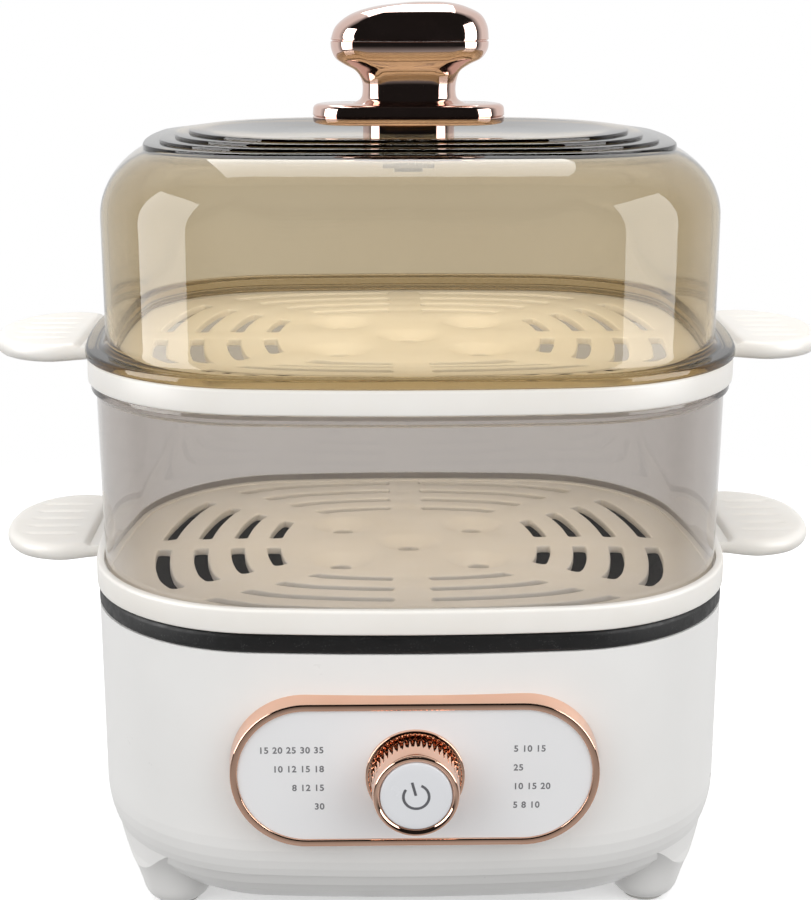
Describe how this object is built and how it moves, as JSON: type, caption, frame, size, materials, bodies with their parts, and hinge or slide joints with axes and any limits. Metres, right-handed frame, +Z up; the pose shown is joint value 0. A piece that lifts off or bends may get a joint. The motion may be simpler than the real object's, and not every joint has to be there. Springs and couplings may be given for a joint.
{
  "type": "egg cooker",
  "caption": "Stacked electric egg cooker: white base with dial panel and pan, perforated steaming trays, clear collar and domed clear lid with a rose-gold handle.",
  "frame": {"origin": "bottom centre of the whole model, on the surface that it stands on; the centre line of the body is 9.75 mm behind it, because the knob stands out in front", "axes": "+Z up, -Y towards the front with the knob, +X to the right seen from the front"},
  "size_m": [0.291, 0.2175, 0.3044],
  "materials": {
    "housing_white": "satin moulded polypropylene",
    "fascia_white": "fine matt moulded fascia",
    "cap_white": "gloss",
    "rose_gold": "polished rose-gold plating on plastic",
    "tray_white": "satin moulded polypropylene",
    "clear_smoke": "clear, faint smoke tint, polished",
    "clear_amber": "clear, amber smoke tint, polished",
    "pan_coating": "black speckled non-stick coating on cast aluminium",
    "cast_plate": "turned cast aluminium",
    "zinc_steel": "zinc plated",
    "soft_rubber": "matt silicone rubber",
    "inner_plastic": "matt",
    "inlet_black": "matt",
    "circuit_board": "solder mask",
    "transformer_black": "varnished core and coil",
    "relay_plastic": "gloss",
    "led_lens": "diffuse lens",
    "inner_ceramic": "ceramic sleeve",
    "lead_sleeve": "silicone sleeve",
    "brass_pins": "nickel-free brass"
  },
  "bodies": {
    "base": {"base_housing": "housing_white", "bottom_cover": "housing_white", "control_panel": "fascia_white", "panel_trim": "rose_gold", "knob_bezel": "rose_gold", "control_board": "circuit_board", "board_bracket": "inner_plastic", "encoder_body": "zinc_steel", "encoder_nut": "zinc_steel", "indicator_leds": "led_lens", "heating_plate": "cast_plate", "heating_element": "zinc_steel", "reflector_dish": "zinc_steel", "sensor_holder": "zinc_steel", "sensor_spring": "zinc_steel", "thermal_fuse": "inner_ceramic", "fuse_clip": "zinc_steel", "power_inlet": "inlet_black", "power_board": "circuit_board", "transformer": "transformer_black", "relay": "relay_plastic", "capacitor": "relay_plastic", "dish_screws": "zinc_steel", "plate_screws": "zinc_steel", "inlet_pins": "brass_pins", "foot_pad_1": "soft_rubber", "cover_screw_1": "zinc_steel", "foot_pad_2": "soft_rubber", "cover_screw_2": "zinc_steel", "foot_pad_3": "soft_rubber", "cover_screw_3": "zinc_steel", "foot_pad_4": "soft_rubber", "cover_screw_4": "zinc_steel", "board_screw_1": "zinc_steel", "element_terminal_1": "zinc_steel", "heater_lead_1": "lead_sleeve", "inlet_lead_1": "lead_sleeve", "inlet_screw_1": "zinc_steel", "board_screw_2": "zinc_steel", "element_terminal_2": "zinc_steel", "heater_lead_2": "lead_sleeve", "inlet_lead_2": "lead_sleeve", "inlet_screw_2": "zinc_steel"},
    "dial": {"encoder_rotor": "inner_plastic"},
    "knob": {"encoder_shaft": "zinc_steel", "knob_shell": "rose_gold", "knob_cap": "cap_white"},
    "sensor": {"sensor_cap": "cast_plate"},
    "pan": {"cooking_pan": "pan_coating"},
    "lower_tier": {"lower_tray": "tray_white"},
    "collar": {"tier_collar": "clear_smoke"},
    "upper_tier": {"upper_tray": "tray_white"},
    "lid": {"lid_shell": "clear_amber", "handle_base": "rose_gold", "handle_body": "rose_gold", "handle_cap": "rose_gold", "handle_gasket": "soft_rubber", "handle_screw": "zinc_steel"}
  },
  "joints": [
    {"name": "dial_turn", "type": "hinge", "parent": "base", "child": "dial", "pos_m": [0, -0.09, 0.0661], "axis": [0, -1, 0], "continuous": true},
    {"name": "knob_press", "type": "slide", "parent": "dial", "child": "knob", "axis": [0, 1, 0], "range_m": [0, 0.001], "stiffness_N_per_m": 800, "springref_m": -0.002},
    {"name": "sensor_press", "type": "slide", "parent": "base", "child": "sensor", "axis": [0, 0, -1], "range_m": [0, 0.0015], "stiffness_N_per_m": 300, "springref_m": -0.003, "deforming": ["sensor_spring"]},
    {"name": "pan_lift", "type": "slide", "parent": "base", "child": "pan", "axis": [0, 0, 1], "range_m": [0, 0.06]},
    {"name": "lower_tray_lift", "type": "slide", "parent": "pan", "child": "lower_tier", "axis": [0, 0, 1], "range_m": [0, 0.06]},
    {"name": "collar_lift", "type": "slide", "parent": "lower_tier", "child": "collar", "axis": [0, 0, 1], "range_m": [0, 0.08]},
    {"name": "upper_tray_lift", "type": "slide", "parent": "collar", "child": "upper_tier", "axis": [0, 0, 1], "range_m": [0, 0.08]},
    {"name": "lid_lift", "type": "slide", "parent": "upper_tier", "child": "lid", "axis": [0, 0, 1], "range_m": [0, 0.12]}
  ]
}
